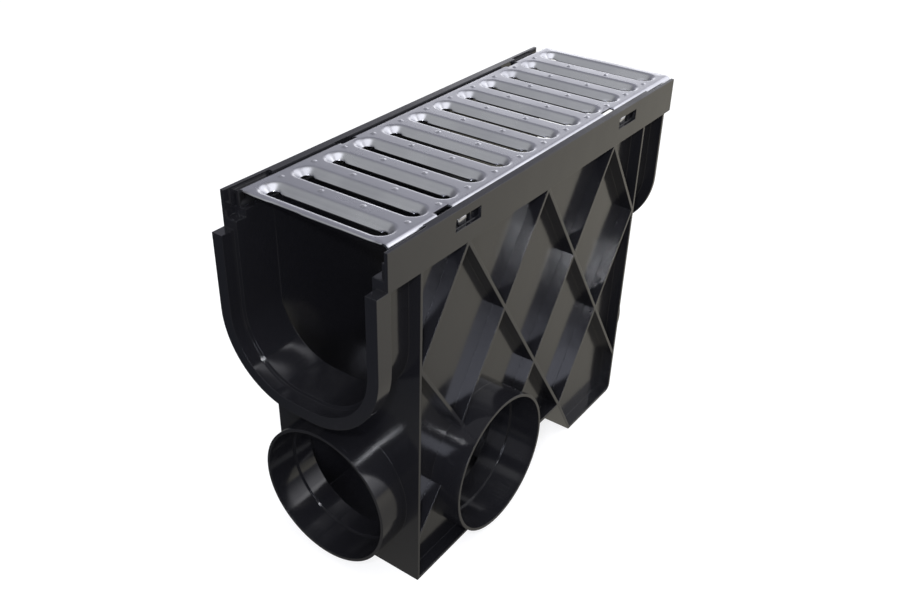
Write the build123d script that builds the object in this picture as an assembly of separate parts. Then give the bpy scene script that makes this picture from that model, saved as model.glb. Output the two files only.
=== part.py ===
from build123d import *
from math import atan2, cos, degrees, pi, sin, tan
import os

# Gully unit of one moulded plastic body and one pressed steel grate.
# Millimetres. X runs across the channel, Y along it, Z up.
# The origin is on the floor, under the middle of the whole unit.
# Stations along Y are first counted from the near end of the rails.

# Driving sizes
RAIL_LENGTH = 500.0
HEIGHT = 390.0
CHANNEL_WIDTH = 150.0
CHANNEL_DEPTH = 176.0
OUTLET_DIAMETER = 149.0
WALL = 3.5
SLOT_PITCH = 41.55

# Widths, all counted from the channel
RAIL_OVERHANG = 16.0
FOOT_DRAFT = 3.0
CHANNEL_HALF = CHANNEL_WIDTH / 2
HALF_WIDTH = CHANNEL_HALF + RAIL_OVERHANG
FOOT_HALF_WIDTH = HALF_WIDTH - FOOT_DRAFT
SUMP_HALF = CHANNEL_HALF + WALL
SUMP_TAPER = 3.5

# Rails
SKIRT_HEIGHT = 36.0
SKIRT_WALL = 3.5
SEAT_DROP = 19.0
SEAT_WEB = 4.0
RAIL_TOP_WIDTH = 7.8
SEAT_HALF = HALF_WIDTH - RAIL_TOP_WIDTH
SEAT_WALL = 2.5
SEAT_SETBACK = 12.0
END_SEAT_DROP = 26.0
END_RELIEF = 54.0
END_RELIEF_DEPTH = 4.0
WINDOW_AT = 107.0
WINDOW_LENGTH = 37.0
WINDOW_HEIGHT = 11.5
WINDOW_DROP = 8.0
CATCH_LENGTH = 19.0

# Channel ends, counted along the rails from the near end
SOCKET_REACH = 14.0
SOCKET_DEPTH = 17.0
SOCKET_CLEARANCE = 4.0
RIM_WALL = 3.0
RIM_DROP = 16.0
RIM_RADIUS = 80.5
CHANNEL_RADIUS = 64.0
NEAR_PLATE = 41.5
FAR_PLATE = RAIL_LENGTH - 61.5
FLANGE_AT = RAIL_LENGTH - 17.5
SPIGOT_END = RAIL_LENGTH - 4.0

# Lattice and feet
RIB = 3.4
PLATE = 3.0
BAYS = 3
FOOT_HEIGHT = 57.0
FLOOR = 3.0
FAR_CORNER_RADIUS = 8.0

# Outlets
OUTLET_WALL = 3.0
OUTLET_REACH = 35.0
OUTLET_FLOOR_GAP = 13.5
SLEEVE_DEPTH = 22.0
SLEEVE_STEP = 2.5
SIDE_OUTLET_FROM_PLATE = 110.0
SIDE_OUTLET_AT = NEAR_PLATE + SIDE_OUTLET_FROM_PLATE
SIDE_OUTLET_REACH = 31.2
TUNNEL_CLEARANCE = 36.0
TUNNEL_FLARE = 34.0

# Grate
GRATE_CLEARANCE = 0.4
GRATE_HALF = SEAT_HALF - GRATE_CLEARANCE
GRATE_DROP = 1.0
GRATE_START = 10.0
GRATE_MARGIN = 7.5
SHEET = 2.0
EDGE_RADIUS = 5.0
LIP_DROP = 6.0
LEG_SETBACK = 20.0
POCKET_WIDTH = 26.5
POCKET_SETBACK = 10.8
POCKET_HALF = GRATE_HALF - POCKET_SETBACK
POCKET_DEPTH = 6.5
POCKET_SLOPE = 7.0
SLIT_WIDTH = 9.4
HOLE_RADIUS = 5.8
END_FLATS = 10
NOTCH_LENGTH = 21.0
NOTCH_DEPTH = 7.0
NOTCHES_FROM_WINDOWS = {1: (-19.725, -23.225), -1: (41.775, 38.275)}
BUMP_RADIUS = 3.4
BUMP_HEIGHT = 1.0
BUMP_SIDES = 6
BUMP_TAPER = 50.0
BUMP_SHARES = (0.283, 0.845)
TONGUE_DROP = 9.0

# Heights and stations worked out from the sizes above
SKIRT_BOTTOM = HEIGHT - SKIRT_HEIGHT
SEAT_TOP = HEIGHT - SEAT_DROP
END_SEAT_TOP = HEIGHT - END_SEAT_DROP
CHANNEL_FLOOR = HEIGHT - CHANNEL_DEPTH
RIM_TOP = SKIRT_BOTTOM + 1.0
OUTLET_RADIUS = OUTLET_DIAMETER / 2
OUTLET_BORE = OUTLET_RADIUS - OUTLET_WALL
SLEEVE_BORE = OUTLET_BORE - SLEEVE_STEP
OUTLET_Z = OUTLET_RADIUS + OUTLET_FLOOR_GAP
LATTICE_START = NEAR_PLATE + 2.0
HALF_BAY = (FAR_PLATE - 3.0 - LATTICE_START) / (2 * BAYS)
ROW = (SKIRT_BOTTOM - FOOT_HEIGHT) / 3
SLOTS = round((RAIL_LENGTH - 1.5) / SLOT_PITCH)
GRATE_LENGTH = (SLOTS - 1) * SLOT_PITCH + POCKET_WIDTH + 2 * GRATE_MARGIN
GRATE_TOP = HEIGHT - GRATE_DROP


def along(profile, start, end):
    """Runs a profile drawn in X and Z from one station along the rails to another."""
    return extrude(Plane.XZ.offset(-end) * profile, end - start)


def across(profile, half):
    """Runs a profile drawn in Y and Z across the unit, to both sides alike."""
    return extrude(Plane.YZ * profile, half, both=True)


def block(x, y, z):
    """A box given by its low and high limits along each axis."""
    size = [high - low for low, high in (x, y, z)]
    middle = [(low + high) / 2 for low, high in (x, y, z)]
    return Pos(*middle) * Box(*size)


def both_sides(shape):
    """A shape on the right and its mirror image on the left."""
    return shape + mirror(shape, Plane.YZ)


def u_face(half, bottom, radius, top):
    """A filled channel section: straight sides, level top, two rounded lower corners."""
    face = Pos(0, (bottom + top) / 2) * Rectangle(2 * half, top - bottom)
    return fillet(face.vertices().sort_by(Axis.Y)[:2], radius)


def tapered(half_low, half_high, low, high):
    """A section that widens evenly from its low edge to its high edge."""
    corners = ((-half_low, low), (half_low, low), (half_high, high), (-half_high, high))
    return make_face(Polyline(*corners, close=True))


def strip(start, end, width):
    """A straight bar between two points, as a flat outline."""
    a, b = Vector(*start), Vector(*end)
    run = b - a
    middle = (a + b) / 2
    outline = Rectangle(run.length + width, width)
    return Pos(middle.X, middle.Y) * Rot(0, 0, degrees(atan2(run.Y, run.X))) * outline


def ring(plane, outer, inner, length):
    """A plain tube standing on a plane."""
    return extrude(plane * (Circle(outer) - Circle(inner)), length)


def node_at(column, row):
    """Crossing point of the lattice: half bays from the near plate, rows above the foot."""
    return (LATTICE_START + column * HALF_BAY, FOOT_HEIGHT + row * ROW)


# Tunnel between the two feet, wider at the floor than at its roof
far_top = node_at(4, 0)
far_low = (far_top[0] + TUNNEL_FLARE, 0.0)
near_top = (SIDE_OUTLET_AT + OUTLET_RADIUS + TUNNEL_CLEARANCE, FOOT_HEIGHT)
near_low = (near_top[0] - TUNNEL_FLARE, 0.0)
tunnel = make_face(Polyline(near_low, near_top, far_top, far_low, close=True))
tunnel_sides = ((near_low, near_top), (near_top, far_top), (far_top, far_low))
tunnel_shell = tunnel + [strip(a, b, 2 * WALL) for a, b in tunnel_sides]
tunnel_ribs = Sketch() + [strip(a, b, RIB) for a, b in tunnel_sides]

# Lattice of ribs, drawn as it shows from the side
RIB_RUNS = (
    ((0, 2), (1, 3)),
    ((1, 1), (3, 3)),
    ((2, 0), (5, 3)),
    ((4, 0), (6, 2)),
    ((0, 2), (2, 0)),
    ((1, 3), (4, 0)),
    ((3, 3), (6, 0)),
    ((5, 3), (6, 2)),
)
lattice = Sketch() + [strip(node_at(*a), node_at(*b), RIB) for a, b in RIB_RUNS]
lattice += strip(node_at(0, 0), (SIDE_OUTLET_AT - OUTLET_RADIUS, OUTLET_Z + 10.0), RIB)
lattice += tunnel_ribs
sump_length = FAR_PLATE - NEAR_PLATE
sump_middle = (NEAR_PLATE + FAR_PLATE) / 2
lattice += Pos(NEAR_PLATE + PLATE / 2, HEIGHT / 2) * Rectangle(PLATE, HEIGHT)
lattice += Pos(FAR_PLATE - PLATE / 2, HEIGHT / 2) * Rectangle(PLATE, HEIGHT)
lattice += Pos(sump_middle, FLOOR / 2) * Rectangle(sump_length, FLOOR)

# Outer limits of the ribbed part: a slight draft and one rounded lower corner
side_limit = Pos(sump_middle, RIM_TOP / 2) * Rectangle(sump_length, RIM_TOP)
far_corner = side_limit.vertices().sort_by(Axis.Y)[:2].sort_by(Axis.X)[-1]
side_limit = fillet(far_corner, FAR_CORNER_RADIUS)
limits = along(tapered(FOOT_HALF_WIDTH, HALF_WIDTH, 0, RIM_TOP), NEAR_PLATE, FAR_PLATE)
limits &= across(side_limit, HALF_WIDTH)
frame = across(lattice, HALF_WIDTH) & limits

# Sump walls, and the hollow inside them
sump = along(tapered(SUMP_HALF - SUMP_TAPER, SUMP_HALF, 0, SEAT_TOP), NEAR_PLATE, FAR_PLATE)
sump_top = block((-SUMP_HALF, SUMP_HALF), (NEAR_PLATE, FAR_PLATE), (SKIRT_BOTTOM, HEIGHT))
sump &= across(side_limit, HALF_WIDTH) + sump_top
inner = tapered(CHANNEL_HALF - SUMP_TAPER, CHANNEL_HALF, 0, SEAT_TOP)
hollow = along(inner, NEAR_PLATE + PLATE, FAR_PLATE - PLATE)
hollow -= block((-HALF_WIDTH, HALF_WIDTH), (0, RAIL_LENGTH), (0, FLOOR))
hollow -= across(tunnel_shell, HALF_WIDTH)

# Channel stubs with the socket rim at the near end and the flanged spigot at the far end
channel_low = CHANNEL_FLOOR - WALL
stub = u_face(SUMP_HALF, channel_low, CHANNEL_RADIUS + WALL, END_SEAT_TOP)
stubs = along(stub, 0, NEAR_PLATE + PLATE) + along(stub, FAR_PLATE - PLATE, SPIGOT_END)
water = u_face(CHANNEL_HALF, CHANNEL_FLOOR, CHANNEL_RADIUS, HEIGHT)
waterway = along(water, 0, NEAR_PLATE + PLATE) + along(water, FAR_PLATE - PLATE, SPIGOT_END)

rim_low = CHANNEL_FLOOR - RIM_DROP
rim_face = u_face(HALF_WIDTH, rim_low, RIM_RADIUS, RIM_TOP)
rim_inside = u_face(HALF_WIDTH - RIM_WALL, rim_low + RIM_WALL, RIM_RADIUS - RIM_WALL, HEIGHT)
mouth_half = CHANNEL_HALF + SOCKET_CLEARANCE
mouth_low = CHANNEL_FLOOR - SOCKET_CLEARANCE
mouth = u_face(mouth_half, mouth_low, CHANNEL_RADIUS + SOCKET_CLEARANCE, HEIGHT)
mouth_wall = u_face(
    mouth_half + RIM_WALL,
    mouth_low - RIM_WALL,
    CHANNEL_RADIUS + SOCKET_CLEARANCE + RIM_WALL,
    RIM_TOP,
)
rim_band = along(rim_face - rim_inside, -SOCKET_REACH, SOCKET_DEPTH - SOCKET_REACH)
rim_web = along(rim_face, -SOCKET_REACH, RIM_WALL - SOCKET_REACH)
rim_neck = along(mouth_wall, -SOCKET_REACH, RIM_WALL)
rim_cap = block((mouth_half, HALF_WIDTH), (-SOCKET_REACH, 0), (RIM_TOP - RIM_WALL, RIM_TOP))
rim = rim_band + rim_web + rim_neck + both_sides(rim_cap) - along(mouth, -SOCKET_REACH, 0)
flange = along(rim_face, FLANGE_AT, FLANGE_AT + WALL)

# Rails: a skirt, a seat wall and the ledge that carries the grate
skirt = block((HALF_WIDTH - SKIRT_WALL, HALF_WIDTH), (0, RAIL_LENGTH), (SKIRT_BOTTOM, HEIGHT))
seat_run = (SEAT_SETBACK, RAIL_LENGTH - SEAT_SETBACK)
seat_wall = block((SEAT_HALF, SEAT_HALF + SEAT_WALL), seat_run, (SEAT_TOP - SEAT_WEB, HEIGHT))
rail_cap = block((SEAT_HALF, HALF_WIDTH), seat_run, (HEIGHT - RIM_WALL, HEIGHT))
ledge = block((CHANNEL_HALF, HALF_WIDTH), seat_run, (SEAT_TOP - SEAT_WEB, SEAT_TOP))
end_ledge_z = (END_SEAT_TOP - SEAT_WEB, END_SEAT_TOP)
end_ledge = block((CHANNEL_HALF, HALF_WIDTH), (0, RAIL_LENGTH), end_ledge_z)
between_steps = (SEAT_SETBACK + SEAT_WEB, RAIL_LENGTH - SEAT_SETBACK - SEAT_WEB)
end_ledge -= block((0, HALF_WIDTH), between_steps, (SKIRT_BOTTOM, HEIGHT))
upper_wall = block((CHANNEL_HALF, SUMP_HALF), seat_run, (SKIRT_BOTTOM, SEAT_TOP))
ledge_step = block(
    (CHANNEL_HALF, HALF_WIDTH),
    (SEAT_SETBACK, SEAT_SETBACK + SEAT_WEB),
    (END_SEAT_TOP - SEAT_WEB, SEAT_TOP),
)
far_step = Pos(0, RAIL_LENGTH - 2 * SEAT_SETBACK - SEAT_WEB, 0) * ledge_step
end_web = block((CHANNEL_HALF, HALF_WIDTH), (0, RIM_WALL), (RIM_TOP - RIM_WALL, END_SEAT_TOP))
rail = skirt + seat_wall + rail_cap + ledge + end_ledge + upper_wall + ledge_step + far_step
rail += end_web
relief_low = HEIGHT - END_RELIEF_DEPTH
for relief_y in ((0, END_RELIEF), (RAIL_LENGTH - END_RELIEF, RAIL_LENGTH)):
    rail -= block((0, HALF_WIDTH - SKIRT_WALL), relief_y, (relief_low, HEIGHT))
    cap_y = (max(relief_y[0], seat_run[0]), min(relief_y[1], seat_run[1]))
    rail += block((SEAT_HALF, HALF_WIDTH), cap_y, (relief_low - RIM_WALL, relief_low))
window_z = (HEIGHT - WINDOW_DROP - WINDOW_HEIGHT, HEIGHT - WINDOW_DROP)
windows = (WINDOW_AT, RAIL_LENGTH - WINDOW_AT)
catch_x = (GRATE_HALF - SHEET - GRATE_CLEARANCE, SEAT_HALF + SEAT_WALL)
for station in windows:
    window_y = (station - WINDOW_LENGTH / 2, station + WINDOW_LENGTH / 2)
    catch_y = (station - CATCH_LENGTH / 2, station + CATCH_LENGTH / 2)
    rail -= block((HALF_WIDTH - SKIRT_WALL, HALF_WIDTH), window_y, window_z)
    rail -= block(catch_x, catch_y, (SEAT_TOP - SEAT_WEB, window_z[1]))

# Outlets: one on each plate and one on each side wall. The left one is still closed by the wall.
NEAR_OUTLET = Plane((0, NEAR_PLATE - OUTLET_REACH, OUTLET_Z), x_dir=(1, 0, 0), z_dir=(0, 1, 0))
FAR_OUTLET = Plane((0, FAR_PLATE + OUTLET_REACH, OUTLET_Z), x_dir=(1, 0, 0), z_dir=(0, -1, 0))
side_reach = SUMP_HALF + SIDE_OUTLET_REACH
RIGHT_OUTLET = Plane((side_reach, SIDE_OUTLET_AT, OUTLET_Z), x_dir=(0, 1, 0), z_dir=(-1, 0, 0))
LEFT_OUTLET = Plane((-side_reach, SIDE_OUTLET_AT, OUTLET_Z), x_dir=(0, 1, 0), z_dir=(1, 0, 0))
sump_side = SUMP_HALF - SUMP_TAPER
to_side = side_reach - sump_side
outlets = (
    (NEAR_OUTLET, OUTLET_REACH + PLATE),
    (FAR_OUTLET, OUTLET_REACH + PLATE),
    (RIGHT_OUTLET, to_side + WALL),
    (LEFT_OUTLET, to_side + WALL),
)
tubes = [extrude(plane * Circle(OUTLET_RADIUS), length) for plane, length in outlets]
bores = [extrude(plane * Circle(OUTLET_BORE), length - WALL) for plane, length in outlets]
open_outlets = outlets[:3]
sleeves = [
    ring(plane.offset(length - WALL), OUTLET_BORE + 0.5, SLEEVE_BORE, SLEEVE_DEPTH)
    for plane, length in open_outlets
]
sleeve_bores = [
    extrude(plane * Circle(SLEEVE_BORE), length + SLEEVE_DEPTH)
    for plane, length in open_outlets
]

body = frame + sump
body += stubs
body += rim
body += flange
body += both_sides(rail)
body += tubes
body -= across(tunnel, HALF_WIDTH) - across(tunnel_ribs, HALF_WIDTH)
body -= hollow
body -= waterway
body += sleeves
body -= bores
body -= sleeve_bores

# Grate: a folded sheet with a row of drawn pockets, each open along its bottom
section = Pos(0, (GRATE_TOP + SEAT_TOP) / 2) * Rectangle(2 * GRATE_HALF, GRATE_TOP - SEAT_TOP)
section = fillet(section.vertices().sort_by(Axis.Y)[-2:], EDGE_RADIUS)
void_top = GRATE_TOP - SHEET
void = Pos(0, (void_top + SEAT_TOP) / 2) * Rectangle(2 * (GRATE_HALF - SHEET), void_top - SEAT_TOP)
void = fillet(void.vertices().sort_by(Axis.Y)[-2:], EDGE_RADIUS - SHEET)
grate_end = GRATE_START + GRATE_LENGTH
grate = along(section - void, GRATE_START, grate_end)
low_z = (0, GRATE_TOP - LIP_DROP)
wide = (-HALF_WIDTH, HALF_WIDTH)
grate -= block(wide, (GRATE_START, GRATE_START + LEG_SETBACK), low_z)
grate -= block(wide, (grate_end - LEG_SETBACK, grate_end), low_z)

first_pocket = GRATE_START + GRATE_MARGIN + POCKET_WIDTH / 2
pocket_station = [first_pocket + i * SLOT_PITCH for i in range(SLOTS)]


# Both walls of a pocket slope alike, so the sheet keeps its thickness
outer_step = SHEET * tan(atan2(POCKET_DEPTH, POCKET_SLOPE) / 2)
top_half = POCKET_WIDTH / 2
hole_x = POCKET_HALF - top_half


def round_ended(half_width, height):
    """Corners of a level outline. Each round end is a row of short flats, to keep facets few."""
    turns = [pi * (i / END_FLATS - 0.5) for i in range(END_FLATS + 1)]
    end = [(hole_x + half_width * cos(turn), half_width * sin(turn)) for turn in turns]
    return [(x, y, height) for x, y in end] + [(-x, -y, height) for x, y in end]


def bowl(half_width, top):
    """A shallow basin that narrows evenly downwards."""
    upper = round_ended(half_width, top)
    lower = round_ended(half_width - POCKET_SLOPE, top - POCKET_DEPTH)
    outlines = [upper, lower]
    for i in range(len(upper)):
        outlines.append([upper[i - 1], upper[i], lower[i], lower[i - 1]])
    return Solid(Shell([make_face(Polyline(*points, close=True)) for points in outlines]))


# The slit widens to a round hole at both ends
slit = Sketch() + Rectangle(2 * hole_x, SLIT_WIDTH)
slit += [Pos(side * hole_x, 0) * RegularPolygon(HOLE_RADIUS, 2 * END_FLATS) for side in (-1, 1)]
shell = bowl(top_half + outer_step, GRATE_TOP - SHEET)
cutter = bowl(top_half, GRATE_TOP)
cutter += extrude(Plane.XY.offset(SEAT_TOP) * slit, GRATE_TOP - POCKET_DEPTH - SEAT_TOP)
grate += [Pos(0, y, 0) * shell for y in pocket_station]
grate -= [Pos(0, y, 0) * cutter for y in pocket_station]

bump_outline = Plane.XY.offset(GRATE_TOP) * RegularPolygon(BUMP_RADIUS, BUMP_SIDES)
bump = extrude(bump_outline, BUMP_HEIGHT, taper=BUMP_TAPER)
for y in pocket_station[:-1]:
    grate += [
        Pos(side * GRATE_HALF * share, y + SLOT_PITCH / 2, 0) * bump
        for side in (-1, 1)
        for share in BUMP_SHARES
    ]
for side, offsets in NOTCHES_FROM_WINDOWS.items():
    for station, offset in zip(windows, offsets):
        middle = station + offset
        notch_x = sorted((side * (GRATE_HALF - NOTCH_DEPTH), side * HALF_WIDTH))
        notch_y = (middle - NOTCH_LENGTH / 2, middle + NOTCH_LENGTH / 2)
        grate -= block(notch_x, notch_y, (0, HEIGHT))

# Tongues on the folded edges drop through the ledges behind the windows
tongue_half = CATCH_LENGTH / 2 - GRATE_CLEARANCE
for station in windows:
    tongue_y = (station - tongue_half, station + tongue_half)
    tongue = block((GRATE_HALF - SHEET, GRATE_HALF), tongue_y, (SEAT_TOP - TONGUE_DROP, SEAT_TOP))
    grate += both_sides(tongue)

os.makedirs("parts", exist_ok=True)
pieces = {"body": body, "grate": grate}
boxes = [shape.bounding_box() for shape in pieces.values()]
middle = (min(box.min.Y for box in boxes) + max(box.max.Y for box in boxes)) / 2
for name, shape in pieces.items():
    placed = Pos(0, -middle, 0) * shape
    export_step(placed, f"parts/{name}.step")
    box = placed.bounding_box()
    print(name, "solids", len(placed.solids()), "valid", placed.is_valid, box.min, box.max)
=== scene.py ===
# %% [markdown]
# A gully unit from a drainage channel: a black plastic sump moulded in one piece, with a
# galvanised steel grate that lies loose on its rails. The solids come from the CAD model and
# stay where they are. This scene gives them their finish, swaps the plain grate for one drawn
# from sheet, and sets up the studio around them.
#
# Lengths are in metres. +Y runs along the channel, away from its socket end, +X runs across it
# to the right, and +Z points up. Loading the model first gives a fixed frame for all the rest.

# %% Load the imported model
from math import asin, cos, pi, radians, sin, sqrt
import bmesh
import bpy
from mathutils import Matrix, Vector


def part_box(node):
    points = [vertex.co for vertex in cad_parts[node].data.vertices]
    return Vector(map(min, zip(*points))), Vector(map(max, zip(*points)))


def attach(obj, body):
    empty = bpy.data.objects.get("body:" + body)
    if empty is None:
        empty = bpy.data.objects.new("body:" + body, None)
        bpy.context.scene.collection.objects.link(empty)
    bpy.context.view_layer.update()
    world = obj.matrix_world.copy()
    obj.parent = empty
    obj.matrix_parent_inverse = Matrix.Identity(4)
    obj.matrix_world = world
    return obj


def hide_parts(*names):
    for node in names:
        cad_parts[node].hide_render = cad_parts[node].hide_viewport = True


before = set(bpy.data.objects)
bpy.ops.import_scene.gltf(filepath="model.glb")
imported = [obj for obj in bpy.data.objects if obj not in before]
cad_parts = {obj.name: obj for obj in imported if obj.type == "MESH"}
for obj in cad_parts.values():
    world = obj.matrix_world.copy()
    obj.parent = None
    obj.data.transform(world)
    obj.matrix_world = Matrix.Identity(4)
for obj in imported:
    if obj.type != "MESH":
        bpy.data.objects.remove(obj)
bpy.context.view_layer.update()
MM = 0.001
print("nodes:", sorted(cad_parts))

# %% [markdown]
# The camera stands where the photographer stood. Its place was worked out from the unit's own
# straight edges, so it is given as plain numbers: a point, a turn about the vertical, a tilt
# below the horizon and a small roll. The lens is a moderate wide angle, close to the unit.

# %% Camera
CAMERA_PLACE = (0.50495, -0.746535, 0.75331)
CAMERA_TURN, CAMERA_TILT, CAMERA_ROLL = radians(35.434), radians(31.917), radians(1.219)
LENS_MM, SENSOR_MM = 39.396, 36
camera_data = bpy.data.cameras.new("camera")
camera_data.sensor_width = SENSOR_MM
camera_data.lens = LENS_MM
camera = bpy.data.objects.new("camera", camera_data)
bpy.context.scene.collection.objects.link(camera)
turn = Matrix.Rotation(CAMERA_TURN, 4, "Z") @ Matrix.Rotation(pi / 2 - CAMERA_TILT, 4, "X")
roll = Matrix.Rotation(CAMERA_ROLL, 4, "Z")
camera.matrix_world = Matrix.Translation(CAMERA_PLACE) @ turn @ roll
bpy.context.scene.camera = camera
bpy.context.scene.view_settings.view_transform = "Standard"
print("camera at", CAMERA_PLACE)

# %% [markdown]
# Every finish here is a small tree of nodes. Wiring nodes takes many words, so a helper class
# keeps the tree and adds one node per call: the sockets that get a number are set, and the
# sockets that get another node's output are linked.


# %% Node helper
class Finish:
    """A node tree being built: a material's by default, or the world's."""

    def __init__(self, name, kind="material"):
        makers = {"material": bpy.data.materials, "world": bpy.data.worlds}
        self.block = makers[kind].new(name)
        self.block.use_nodes = True
        self.tree = self.block.node_tree
        self.tree.nodes.clear()

    def add(self, kind, inputs=None, **settings):
        """Adds a node, sets its settings, and sets or links the named or numbered inputs."""
        node = self.tree.nodes.new("ShaderNode" + kind)
        for name, value in settings.items():
            setattr(node, name, value)
        for key, value in (inputs or {}).items():
            self.feed(node.inputs[key], value)
        return node

    def feed(self, socket, value):
        """Links a socket to another node's output, or sets it to a plain value."""
        if isinstance(value, bpy.types.NodeSocket):
            self.tree.links.new(value, socket)
        else:
            socket.default_value = value

    def math(self, operation, *values):
        """One step of arithmetic on plain numbers."""
        return self.add("Math", dict(enumerate(values)), operation=operation).outputs[0]

    def spread(self, value, low, high, to_low, to_high, smooth=False):
        """Carries a value from one range to another, and holds it at the new range's ends."""
        kind = "SMOOTHSTEP" if smooth else "LINEAR"
        inputs = {0: value, 1: low, 2: high, 3: to_low, 4: to_high}
        return self.add("MapRange", inputs, interpolation_type=kind, clamp=True).outputs[0]

    def blend(self, share, first, second, way="MIX"):
        """Blends two colours by a share from 0 to 1. A Mix node's colours are inputs 6 and 7."""
        node = self.add("Mix", {0: share}, data_type="RGBA", blend_type=way)
        self.feed(node.inputs[6], first)
        self.feed(node.inputs[7], second)
        return node.outputs[2]

    def noise(self, scale, detail=2.0, rough=0.5, vector=None, twist=0.0):
        """Soft random patches, about one per 1/scale metres."""
        inputs = {"Scale": scale, "Detail": detail, "Roughness": rough, "Distortion": twist}
        inputs["Vector"] = vector or self.place()
        return self.add("TexNoise", inputs).outputs["Fac"]

    def place(self):
        """The point on the object, in metres, the same at every pose."""
        return self.add("TexCoord").outputs["Object"]

    def stretched(self, x, y, z):
        """The same point with each axis scaled, for streaks that run one way."""
        return self.add("Mapping", {"Vector": self.place(), "Scale": (x, y, z)}).outputs[0]

    def finish(self, shader, output="OutputMaterial"):
        """Links the shader to the tree's output and hands the finished block back."""
        self.tree.links.new(shader, self.add(output).inputs["Surface"])
        print("finish", self.block.name, "with", len(self.tree.nodes), "nodes")
        return self.block


# %% [markdown]
# The sump is injection-moulded polypropylene, black all through. Its skin copies the polished
# mould: glossy, a little wavy over the broad walls, with faint scuffs where units rub together
# in the stack. Colour hardly matters on black plastic, so most nodes go to the roughness and to
# the bump. The Bevel node rounds the shading of each edge, as a mould's edges are never sharp.

# %% Black moulded plastic
BLACK = (0.011, 0.011, 0.013, 1)
WORN_BLACK = (0.05, 0.051, 0.057, 1)
PLASTIC_ROUGHNESS = (0.10, 0.17)
SCUFFS_ROUGHER, SCUFFS_PALER = 0.07, 0.14
MOULD_EDGE = 0.7 * MM


def moulded_plastic():
    made = Finish("moulded_plastic")
    patches = made.noise(9, 3)
    scuffs = made.noise(1, 4, 0.62, made.stretched(60, 340, 60), 0.6)
    scuffed = made.spread(scuffs, 0.60, 0.74, 0.0, 1.0)
    scuffed = made.math("MULTIPLY", scuffed, made.spread(patches, 0.48, 0.62, 0.0, 1.0))
    roughness = made.spread(patches, 0.3, 0.7, *PLASTIC_ROUGHNESS)
    roughness = made.math("ADD", roughness, made.math("MULTIPLY", scuffed, SCUFFS_ROUGHER))
    waves = made.noise(24, 2, 0.4)
    grain = made.math("MULTIPLY", made.noise(1500, 2, 0.5), 0.02)
    edges = made.add("Bevel", {"Radius": MOULD_EDGE}, samples=4)
    bumps = made.add("Bump", {
        "Strength": 0.35,
        "Distance": 0.9 * MM,
        "Height": made.math("ADD", waves, grain),
        "Normal": edges.outputs[0],
    })
    colour = made.blend(made.math("MULTIPLY", scuffed, SCUFFS_PALER), BLACK, WORN_BLACK)
    shader = made.add("BsdfPrincipled", {
        "Base Color": colour,
        "Roughness": roughness,
        "Normal": bumps.outputs[0],
        "IOR": 1.5,
    })
    return made.finish(shader.outputs[0])


plastic = moulded_plastic()
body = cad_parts["body"]
body.data.materials.clear()
body.data.materials.append(plastic)

# %% [markdown]
# The grate is cold-rolled sheet with a thin coat of zinc. Zinc sets in flat crystals, the
# spangle, each a slightly different grey. On drawn sheet they hardly show, so a Voronoi texture
# gives them a small share. Broad noise gives the cloudy dull patches, and a noise stretched
# along the grate's width gives the fine marks that the rollers left.

# %% Galvanised steel
ZINC = (0.50, 0.505, 0.53, 1)
DULL_ZINC = (0.38, 0.385, 0.41, 1)
STEEL_ROUGHNESS = (0.23, 0.37)
CRYSTALS_PER_METRE = 130.0


def galvanised_steel():
    made = Finish("galvanised_steel")
    crystals = made.add("TexVoronoi", {"Vector": made.place(), "Scale": CRYSTALS_PER_METRE})
    grey = made.add("SeparateColor", {0: crystals.outputs["Color"]}).outputs[0]
    clouds = made.noise(22, 2, 0.45)
    streaks = made.noise(1, 2, 0.5, made.stretched(14, 260, 120))
    cloudy = made.spread(clouds, 0.35, 0.7, 0.1, 0.7)
    dullness = made.math("ADD", made.math("MULTIPLY", grey, 0.08), cloudy)
    dullness = made.math("ADD", dullness, made.math("MULTIPLY", streaks, 0.12))
    bumps = made.add("Bump", {
        "Strength": 0.12,
        "Distance": 0.5 * MM,
        "Height": made.math("ADD", clouds, made.math("MULTIPLY", streaks, 0.02)),
    })
    shader = made.add("BsdfPrincipled", {
        "Base Color": made.blend(dullness, ZINC, DULL_ZINC),
        "Metallic": 1.0,
        "Roughness": made.spread(dullness, 0.0, 1.0, *STEEL_ROUGHNESS),
        "Normal": bumps.outputs[0],
    })
    return made.finish(shader.outputs[0])


steel = galvanised_steel()

# %% [markdown]
# The grate starts as one flat blank. The press draws a row of long pockets into it, punches a
# slit along the bottom of each, with a round hole at both ends, and folds the two long edges
# down. Modelling it that way round gives clean quads: rings of points run round each slit, climb
# the flank, and end on a rectangular cell. Twelve cells share their border points.
#
# The sizes come first. Heights are above the ground, and how far the grate reaches across,
# along and down comes from the box of the CAD grate that it replaces.

# %% The grate's sizes
low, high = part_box("grate")
GRATE_TOP = 389.0 * MM
TONGUE_BOTTOM = low.z
LEG_BOTTOM = 371.0 * MM
GRATE_HALF = high.x
GRATE_START, GRATE_END = low.y, high.y
CELLS = 12
PITCH = 41.55 * MM
SHEET = 2.0 * MM
SPINE_HALF = 58.75 * MM
POCKET_HALF_WIDTH = 15.0 * MM
FLOOR_HALF_WIDTH = 5.4 * MM
POCKET_DEPTH = 6.5 * MM
SLIT_HALF_WIDTH = 4.7 * MM
HOLE_RADIUS = 6.3 * MM
MIDDLE = (GRATE_START + GRATE_END) / 2
first_cell = MIDDLE - (CELLS - 1) / 2 * PITCH
cell_middles = [first_cell + PITCH * i for i in range(CELLS)]
print(CELLS, "cells from", round(cell_middles[0], 4), "to", round(cell_middles[-1], 4))

# %% [markdown]
# A pocket's flank is a flat S: the punch bends the sheet gently over the rim, pulls it straight,
# and bends it sharply at the foot. Each point's height comes from its distance to the pocket's
# spine, so one short function shapes sides and ends alike. It joins two parabolas with a line,
# and the two bends are given as shares of the flank's width.

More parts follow.
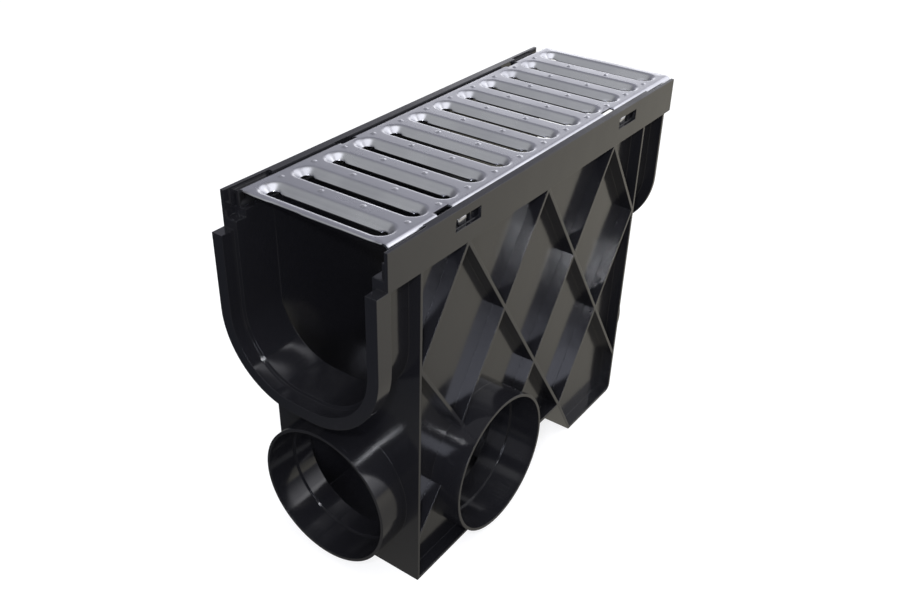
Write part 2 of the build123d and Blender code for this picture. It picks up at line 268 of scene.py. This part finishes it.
# %% The flank of a pocket
TOP_BEND, FOOT_BEND = 0.60, 0.10


def pocket_drop(distance):
    """How far the sheet is drawn down at this distance from a pocket's spine."""
    share = (POCKET_HALF_WIDTH - distance) / (POCKET_HALF_WIDTH - FLOOR_HALF_WIDTH)
    share = min(max(share, 0.0), 1.0)
    slope = 1 / (1 - (TOP_BEND + FOOT_BEND) / 2)
    if share < TOP_BEND:
        fall = slope * share * share / (2 * TOP_BEND)
    elif share < 1 - FOOT_BEND:
        fall = slope * (share - TOP_BEND / 2)
    else:
        fall = 1 - slope * (1 - share) ** 2 / (2 * FOOT_BEND)
    return POCKET_DEPTH * fall


for distance_mm in (6, 9, 12, 15):
    print(distance_mm, "mm out, the flank is", round(pocket_drop(distance_mm * MM) / MM, 2), "deep")

# %% [markdown]
# Each ring has the same number of points: some along the straight sides and some round the
# ends. The innermost follows the cut edge, a slit that opens into a round hole at both ends.
# The others keep an even distance from the spine, and come closer together towards the pocket's
# rim, where the sheet curves over.

# %% Rings round one slit
SIDE_STEPS = 20
END_STEPS = 24
RING_DISTANCES = [d * MM for d in (7.1, 8.3, 9.5, 10.6, 11.6, 12.5, 13.3, 14.0, 14.7, 15.3)]


def ring_round(side_x, arc):
    """Points round a slit, counterclockwise from the right end of its far side.

    side_x is how far the straight sides reach, and arc gives the points of the left end."""
    half_width = arc[0][1]
    far_side = [(side_x - 2 * side_x * i / SIDE_STEPS, half_width) for i in range(SIDE_STEPS)]
    near_side = [(-x, -y) for x, y in far_side]
    left_end = arc[:-1]
    right_end = [(-x, -y) for x, y in left_end]
    return far_side + left_end + near_side + right_end


def slit_ring():
    """The cut edge: a slit with a round hole at both ends."""
    opening = asin(SLIT_HALF_WIDTH / HOLE_RADIUS)
    side_x = SPINE_HALF - HOLE_RADIUS * cos(opening)
    turns = [opening + (2 * pi - 2 * opening) * i / END_STEPS for i in range(END_STEPS + 1)]
    arc = [(-SPINE_HALF + HOLE_RADIUS * cos(t), HOLE_RADIUS * sin(t)) for t in turns]
    return ring_round(side_x, arc)


def pocket_ring(distance):
    """A ring at an even distance from the pocket's spine."""
    turns = [pi / 2 + pi * i / END_STEPS for i in range(END_STEPS + 1)]
    arc = [(-SPINE_HALF + distance * cos(t), distance * sin(t)) for t in turns]
    return ring_round(SPINE_HALF, arc)


rings = [slit_ring()] + [pocket_ring(d) for d in RING_DISTANCES]
print(len(rings), "rings of", len(rings[0]), "points")

# %% [markdown]
# Each long edge has two square notches, where a lifting tool reaches in. Legs hang from the
# edge for most of its length, and two tongues reach lower, through slots in the body's ledges.
# Each of these has to begin and end on a row of points, so the row nearest to its end is moved
# there, and the rows between are spread evenly again. Notches are measured from the grate's
# middle, and tongues from the frame's, because they have to meet the slots in the body.

# %% Rows of points along the long edges
CORNER_STEPS = 4
EDGE_STEPS = END_STEPS - 2 * CORNER_STEPS
MERGE = 1.0 * MM
NOTCH_HALF = 10.5 * MM
NOTCHES = {1: (-172.0 * MM, 110.5 * MM), -1: (-110.5 * MM, 172.0 * MM)}
TONGUES = (-140.275 * MM, 145.725 * MM)
TONGUE_HALF = 9.1 * MM
FRONT_BEND = GRATE_START + 1.8 * MM
LEG_SETBACK = 20.0 * MM
leg_span = (FRONT_BEND, GRATE_END - LEG_SETBACK)
tongue_spans = [(at - TONGUE_HALF, at + TONGUE_HALF) for at in TONGUES]
notch_spans = {
    side: [(MIDDLE + at - NOTCH_HALF, MIDDLE + at + NOTCH_HALF) for at in places]
    for side, places in NOTCHES.items()
}


def cell_rows(start, end, wanted):
    """Rows across one cell. Those nearest to the wanted places stand there, the rest between.

    A wanted place within MERGE of the one before it, or of the cell's ends, gets no row."""
    anchors = [(0, start)]
    for y in wanted:
        if y - anchors[-1][1] > MERGE and end - y > MERGE:
            step = round((y - start) / (end - start) * EDGE_STEPS)
            anchors.append((max(step, anchors[-1][0] + 1), y))
    anchors.append((EDGE_STEPS, end))
    rows = []
    for (step0, y0), (step1, y1) in zip(anchors, anchors[1:]):
        rows += [y0 + (y1 - y0) * i / (step1 - step0) for i in range(step1 - step0)]
    return rows


def edge_rows(side):
    """The rows along one long edge, so that each notch, leg and tongue begins on a row."""
    spans = notch_spans[side] + [leg_span] + tongue_spans
    wanted = sorted(y for span in spans for y in span)
    borders = [FRONT_BEND] + [m + PITCH / 2 for m in cell_middles[:-1]] + [GRATE_END]
    rows = []
    for start, end in zip(borders, borders[1:]):
        rows += cell_rows(start, end, wanted)
    return rows + [GRATE_END]


rows_at = {side: edge_rows(side) for side in (-1, 1)}
print("rows on each long edge:", len(rows_at[1]))

# %% [markdown]
# A cell is the piece of flat sheet round one pocket. Its outline has one point for each point of
# a ring, so the two can be joined by quads all the way round. It ends a little inside the fold.

# %% The outline of a cell
CELL_HALF = GRATE_HALF - 7.0 * MM


def cell_border(index):
    """The cell's outline with one point for each point of a ring."""
    top = cell_middles[index] + PITCH / 2 if index < CELLS - 1 else GRATE_END
    bottom = cell_middles[index] - PITCH / 2 if index else FRONT_BEND
    xs = [SPINE_HALF - 2 * SPINE_HALF * i / SIDE_STEPS for i in range(SIDE_STEPS)]
    corner_width = CELL_HALF - SPINE_HALF
    corner = [SPINE_HALF + corner_width * i / CORNER_STEPS for i in range(CORNER_STEPS)]
    start = index * EDGE_STEPS
    left = rows_at[-1][start:start + EDGE_STEPS + 1]
    right = rows_at[1][start:start + EDGE_STEPS + 1]
    points = [(x, top) for x in xs] + [(-x, top) for x in corner]
    points += [(-CELL_HALF, y) for y in reversed(left)]
    points += [(-x, bottom) for x in reversed(corner[1:])]
    points += [(-x, bottom) for x in xs] + [(x, bottom) for x in corner]
    points += [(CELL_HALF, y) for y in right]
    points += [(x, top) for x in reversed(corner[1:])]
    return points


print("points round a cell:", len(cell_border(0)), "and round a ring:", len(rings[0]))

# %% [markdown]
# Neighbouring cells meet at the same places, and the sheet is one piece, so they have to share
# their points. A small class remembers each point by its rounded place and hands it out again.


# %% Build the blank with its pockets
class Sheet:
    """A mesh whose points are shared wherever two pieces of it meet."""

    def __init__(self):
        self.mesh = bmesh.new()
        self.known = {}

    def point(self, x, y, z):
        """The mesh's point at this place, made if it isn't there yet."""
        key = (round(x, 6), round(y, 6), round(z, 6))
        if key not in self.known:
            self.known[key] = self.mesh.verts.new((x, y, z))
        return self.known[key]

    def face(self, corners):
        """One face, without the corners that fell on the same point."""
        corners = list(dict.fromkeys(corners))
        if len(corners) > 2:
            self.mesh.faces.new(corners)


def spine_distance(x, y):
    """How far a point of a ring is from the pocket's spine, a straight line with two ends."""
    return sqrt(max(abs(x) - SPINE_HALF, 0) ** 2 + y * y)


sheet = Sheet()
for index, middle in enumerate(cell_middles):
    loops = []
    for ring in rings:
        heights = [GRATE_TOP - pocket_drop(spine_distance(x, y)) for x, y in ring]
        loops.append([sheet.point(x, middle + y, z) for (x, y), z in zip(ring, heights)])
    loops.append([sheet.point(x, y, GRATE_TOP) for x, y in cell_border(index)])
    for inner, outer in zip(loops, loops[1:]):
        for i in range(len(inner)):
            sheet.face([inner[i - 1], outer[i - 1], outer[i], inner[i]])
print("blank:", len(sheet.mesh.verts), "points,", len(sheet.mesh.faces), "faces")

# %% [markdown]
# The long edges are folded down over a 5 mm radius. The fold is one profile, drawn from the flat
# to the lowest tongue and pulled along the rows. How far down the profile goes depends on the
# place: not at all in a notch, to the lip at the far end, to the leg's foot, or to the tongue's.

# %% Fold the long edges down
FOLD_RADIUS = 5.0 * MM
FOLD_STEPS = 6
LIP = 6.0 * MM


def fold_profile():
    """The folded edge from the flat to the tongue's foot, as distance out and height."""
    flat = GRATE_HALF - FOLD_RADIUS
    points = [(CELL_HALF, GRATE_TOP), (flat, GRATE_TOP)]
    for i in range(1, FOLD_STEPS + 1):
        turn = pi / 2 * i / FOLD_STEPS
        points.append((flat + FOLD_RADIUS * sin(turn), GRATE_TOP - FOLD_RADIUS * (1 - cos(turn))))
    points += [(GRATE_HALF, GRATE_TOP - LIP), (GRATE_HALF, LEG_BOTTOM)]
    return points + [(GRATE_HALF, TONGUE_BOTTOM)]


def inside(place, spans):
    """Whether a place along the edge lies within one of the spans."""
    return any(start < place < end for start, end in spans)


profile = fold_profile()
for side, rows in rows_at.items():
    for near, far in zip(rows, rows[1:]):
        along = (near + far) / 2
        if inside(along, notch_spans[side]):
            continue
        if inside(along, tongue_spans):
            steps = profile
        elif inside(along, [leg_span]):
            steps = profile[:-1]
        else:
            steps = profile[:-2]
        for (x0, z0), (x1, z1) in zip(steps, steps[1:]):
            corners = [(x0, near, z0), (x1, near, z1), (x1, far, z1), (x0, far, z0)]
            sheet.face([sheet.point(side * x, y, z) for x, y, z in corners])
print("with folded edges:", len(sheet.mesh.faces), "faces")

# %% [markdown]
# The shears that cut the grate to length rolled its front edge over a little, and left it not
# quite straight. That bent edge draws a pale line above the dark channel. A narrow strip of
# faces gives it: each step is a distance back from the grate's start, and a drop. A short table
# in millimetres says how much further back the edge lies at places across the grate.

# %% Roll the front edge over
ROLL = [(0.9 * MM, 0.25 * MM), (0.0, 0.95 * MM)]
SET_BACK_AT = (-76, -70, -66, -46, -41, -12, -6, 27, 32, 64, 70, 76)
SET_BACK_BY = (1.2, 1.0, 0.2, 0.1, 0.7, 0.8, 0.0, 0.1, 0.5, 0.3, 0.9, 1.3)


def set_back(x):
    """How far the front edge lies back at this place across the grate."""
    places = [at * MM for at in SET_BACK_AT]
    for x0, x1, back0, back1 in zip(places, places[1:], SET_BACK_BY, SET_BACK_BY[1:]):
        if x0 <= x <= x1:
            return (back0 + (back1 - back0) * (x - x0) / (x1 - x0)) * MM
    return 0.0


front_x = sorted({x for x, y in cell_border(0) if y == FRONT_BEND})
for left, right in zip(front_x, front_x[1:]):
    upper = [(left, FRONT_BEND, GRATE_TOP), (right, FRONT_BEND, GRATE_TOP)]
    for back, drop in ROLL:
        lower = [(x, GRATE_START + back + set_back(x), GRATE_TOP - drop) for x in (left, right)]
        sheet.face([sheet.point(*corner) for corner in (upper[1], upper[0], lower[0], lower[1])])
        upper = lower
print("front edge:", len(front_x), "points across")

# %% [markdown]
# So far the sheet has no thickness. The Solidify modifier gives it 2 mm on the hidden side, and
# a small Bevel rounds the cut edges, which is what makes them catch a thin line of light. The
# faces have to agree on which side is up before that, because Solidify follows their normals.
#
# The new grate stands for the CAD one, which stays hidden and goes on carrying the collisions.

# %% Give the sheet its thickness
CUT_EDGE = 0.35 * MM
SHARP_ANGLE = radians(50)


def show(name, mesh, finish):
    """Puts a mesh into the scene as a smoothly shaded piece with one finish."""
    data = bpy.data.meshes.new(name)
    mesh.to_mesh(data)
    mesh.free()
    data.polygons.foreach_set("use_smooth", [True] * len(data.polygons))
    data.materials.append(finish)
    piece = bpy.data.objects.new(name, data)
    bpy.context.scene.collection.objects.link(piece)
    print(name + ":", len(data.vertices), "points")
    return piece


def thicken(piece, thickness):
    """Gives a sheet its thickness on the side that its normals point away from."""
    modifier = piece.modifiers.new("thickness", "SOLIDIFY")
    modifier.thickness = thickness
    modifier.offset = -1


bmesh.ops.recalc_face_normals(sheet.mesh, faces=sheet.mesh.faces)
flat_face = max(sheet.mesh.faces, key=lambda f: f.calc_center_median().z)
if flat_face.normal.z < 0:
    bmesh.ops.reverse_faces(sheet.mesh, faces=sheet.mesh.faces)
grate = show("grate_sheet", sheet.mesh, steel)
thicken(grate, SHEET)
soften = grate.modifiers.new("cut_edges", "BEVEL")
soften.width = CUT_EDGE
soften.segments = 2
soften.limit_method = "ANGLE"
soften.angle_limit = SHARP_ANGLE
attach(grate, "root")
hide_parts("grate")

# %% [markdown]
# At each tongue a short lug is pressed out of the folded edge. It stands in the body's window,
# snaps under its upper edge, and is the bright patch that shows there. It is a bent strip: two
# ends that climb out of the leg and a face between them.

# %% Lugs in the windows
LUG_OUT = 87.2 * MM
LUG_SPAN = (-9.1 * MM, 3.2 * MM)
LUG_HEIGHTS = (371.6 * MM, 380.6 * MM)
LUG_BEND = 1.6 * MM
LUG_BEVEL = 0.3 * LUG_BEND
LUG_SHEET = 1.2 * MM


def lug_outline(middle):
    """The bent strip seen from above, as distance out and place along the edge."""
    start, end = middle + LUG_SPAN[0], middle + LUG_SPAN[1]
    root = GRATE_HALF - SHEET / 2
    return [
        (root, start), (LUG_OUT - LUG_BEND, start), (LUG_OUT - LUG_BEVEL, start + LUG_BEVEL),
        (LUG_OUT, start + LUG_BEND), (LUG_OUT, end - LUG_BEND),
        (LUG_OUT - LUG_BEVEL, end - LUG_BEVEL), (LUG_OUT - LUG_BEND, end), (root, end),
    ]


strips = Sheet()
bottom, top = LUG_HEIGHTS
for side in (-1, 1):
    for middle in TONGUES:
        outline = lug_outline(middle)
        for (x0, y0), (x1, y1) in zip(outline, outline[1:]):
            corners = [(x0, y0, bottom), (x1, y1, bottom), (x1, y1, top), (x0, y0, top)]
            strips.face([strips.point(side * x, y, z) for x, y, z in corners[::side]])
lugs = show("grate_lugs", strips.mesh, steel)
thicken(lugs, LUG_SHEET)
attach(lugs, "root")

# %% [markdown]
# Small round studs are pressed up between the pockets, so that shoes grip. Each is a low dome
# turned from a profile, half a wave of a cosine, that ends a hair below the sheet's face. A
# short skirt and a disc inside the sheet close it underneath, so it is a solid of its own.

# %% Studs on the bars
STUD_HEIGHT = 1.0 * MM
STUD_RADIUS = 3.7 * MM
STUD_SINK = 0.05 * MM
STUD_STEPS = 6
STUD_SIDES = 18
STUD_SHARES = (-0.845, -0.283, 0.283, 0.845)


def stud_height(radius):
    """The dome's height above the sheet at this distance from its middle."""
    return STUD_HEIGHT * (1 + cos(pi * min(radius / STUD_RADIUS, 1.0))) / 2 - STUD_SINK


def add_stud(mesh, x, y):
    """One stud: a crown, rings down to the rim, a skirt, and a disc inside the sheet."""
    radii = [STUD_RADIUS * i / STUD_STEPS for i in range(1, STUD_STEPS + 1)]
    levels = [(radius, GRATE_TOP + stud_height(radius)) for radius in radii]
    levels.append((STUD_RADIUS, GRATE_TOP - SHEET / 2))
    turns = [2 * pi * i / STUD_SIDES for i in range(STUD_SIDES)]
    loops = [
        [mesh.verts.new((x + radius * cos(t), y + radius * sin(t), z)) for t in turns]
        for radius, z in levels
    ]
    crown = mesh.verts.new((x, y, GRATE_TOP + stud_height(0)))
    for i in range(STUD_SIDES):
        mesh.faces.new([crown, loops[0][i - 1], loops[0][i]])
        for inner, outer in zip(loops, loops[1:]):
            mesh.faces.new([inner[i - 1], outer[i - 1], outer[i], inner[i]])
    mesh.faces.new(list(reversed(loops[-1])))


domes = bmesh.new()
for middle in cell_middles[:-1]:
    for share in STUD_SHARES:
        add_stud(domes, share * GRATE_HALF, middle + PITCH / 2)
studs = show("grate_studs", domes, steel)
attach(studs, "root")

# %% [markdown]
# The photograph was taken on a pale ground and then cut out, so its background is plain white.
# For the camera the world and the floor are white. What the glossy surfaces mirror is another
# matter: the steel shows a soft grey sky with brighter patches in it. The world gives those to
# every kind of ray but the camera's own. Each patch is a glow with a direction, an inner angle
# where it begins to fade, an outer angle where it is gone, and a colour.

# %% The world around the unit
SKY = (0.24, 0.24, 0.26, 1)
WHITE = (1, 1, 1, 1)
UNLIT = (0, 0, 0, 1)


def towards(azimuth, elevation):
    """A direction from its azimuth, counted from +Y towards +X, and its elevation, in degrees."""
    a, e = radians(azimuth), radians(elevation)
    return Vector((sin(a) * cos(e), cos(a) * cos(e), sin(e)))


GLOWS = (
    (towards(-30, -2), 8, 26, (1.90, 1.90, 1.95)),  # low behind the unit
    (towards(-40, 34), 10, 40, (0.16, 0.16, 0.20)),  # behind it, where the flat bars look
    (towards(-129, 58), 14, 40, (0.40, 0.41, 0.40)),  # in front on the left, for the flanks
    (towards(22, 24), 26, 42, (1.50, 1.50, 1.58)),  # behind it on the right, for the fold
    (towards(120, 68), 16, 40, (1.70, 1.70, 1.78)),  # overhead, for the pockets' left ends
)


def studio_world():
    made = Finish("studio_world", "world")
    direction = made.add("TexCoord").outputs["Generated"]
    direction = made.add("VectorMath", {0: direction}, operation="NORMALIZE").outputs[0]
    colour = SKY
    for way, inner, outer, glow in GLOWS:
        facing = made.add("VectorMath", {0: direction, 1: way}, operation="DOT_PRODUCT")
        edges = cos(radians(outer)), cos(radians(inner))
        share = made.spread(facing.outputs["Value"], *edges, 0.0, 1.0, smooth=True)
        lit = made.blend(share, UNLIT, (*glow, 1))
        colour = made.blend(1.0, colour, lit, "ADD")
    seen = made.add("LightPath").outputs["Is Camera Ray"]
    around = made.add("Background", {"Color": colour, "Strength": 1.0})
    white = made.add("Background", {"Color": WHITE, "Strength": 1.0})
    mixed = made.add("MixShader", {0: seen, 1: around.outputs[0], 2: white.outputs[0]})
    return made.finish(mixed.outputs[0], "OutputWorld")


bpy.context.scene.world = studio_world()

# %% [markdown]
# The right side of the plastic mirrors a bright, warm floor, and its front a dark room. So the
# floor is two things. The camera sees white paper that keeps the unit's shadow. Every other ray
# sees a glow that goes from dark on the left and in front to warm on the right and behind.

# %% The floor
FLOOR_HALF = 6.0
WARM_SIDE = (0.83, 0.56)
WARM_FROM, WARM_TO = -0.55, 0.75
DARK_FLOOR = (0.045, 0.05, 0.06, 1)
WARM_FLOOR = (0.78, 0.74, 0.64, 1)
PAPER = (0.30, 0.30, 0.30, 1)
PAPER_GLOW = 0.80


def pale_floor():
    made = Finish("pale_floor")
    place = made.add("SeparateXYZ", {0: made.place()}).outputs
    parts = [made.math("MULTIPLY", place[i], way) for i, way in enumerate(WARM_SIDE)]
    share = made.spread(made.math("ADD", *parts), WARM_FROM, WARM_TO, 0.0, 1.0, smooth=True)
    mirrored = made.blend(share, DARK_FLOOR, WARM_FLOOR)
    glow = made.add("Emission", {"Color": mirrored, "Strength": 1.0})
    paper = made.add("BsdfDiffuse", {"Color": PAPER})
    white = made.add("Emission", {"Color": WHITE, "Strength": PAPER_GLOW})
    seen_paper = made.add("AddShader", {0: paper.outputs[0], 1: white.outputs[0]})
    seen = made.add("LightPath").outputs["Is Camera Ray"]
    mixed = made.add("MixShader", {0: seen, 1: glow.outputs[0], 2: seen_paper.outputs[0]})
    return made.finish(mixed.outputs[0])


floor_mesh = bpy.data.meshes.new("floor")
corners = [(-1, -1), (1, -1), (1, 1), (-1, 1)]
places = [(x * FLOOR_HALF, y * FLOOR_HALF, 0) for x, y in corners]
floor_mesh.from_pydata(places, [], [(0, 1, 2, 3)])
floor = bpy.data.objects.new("floor", floor_mesh)
bpy.context.scene.collection.objects.link(floor)
floor_mesh.materials.append(pale_floor())

# %% [markdown]
# Three lamps do the rest. A large soft box behind the unit on the right draws the bright line
# along the grate's folded edge. A window low in front gives the bluish streaks between the ribs.
# The third is a small flash beside the camera. Two faces that stand square to each other send
# light back the way it came, so where a round stub meets the wall, the flash draws a streak.
#
# A lamp's brightness is given as what a mirror would show of it, because gloss is what it is
# for. The watts follow from that and its size.

# %% Lamps
AIM = Vector((0, 0, 0.25))
DAYLIGHT = (0.82, 0.85, 1.0)
FLASHLIGHT = (0.92, 0.94, 1.0)


def soft_box(name, azimuth, elevation, distance, size, brightness, colour=(1, 1, 1)):
    """An area lamp that faces the unit. Its brightness is what a mirror would show of it."""
    data = bpy.data.lights.new(name, "AREA")
    data.shape = "RECTANGLE"
    data.size, data.size_y = size
    data.energy = brightness * pi * size[0] * size[1]
    data.color = colour
    lamp = bpy.data.objects.new(name, data)
    bpy.context.scene.collection.objects.link(lamp)
    way = towards(azimuth, elevation)
    lamp.location = AIM + way * distance
    lamp.rotation_mode = "QUATERNION"
    lamp.rotation_quaternion = way.to_track_quat("Z", "Y")
    lamp.visible_camera = False
    print(name, "gives", round(data.energy, 2), "watts")
    return lamp


soft_box("back_right_box", 42, 35, 1.7, (1.1, 0.8), 0.8)
soft_box("front_window", 150, 17, 1.9, (0.6, 0.5), 13.0, DAYLIGHT)
soft_box("camera_flash", 149.95, 32.9, 1.034, (0.045, 0.025), 720.0, FLASHLIGHT)
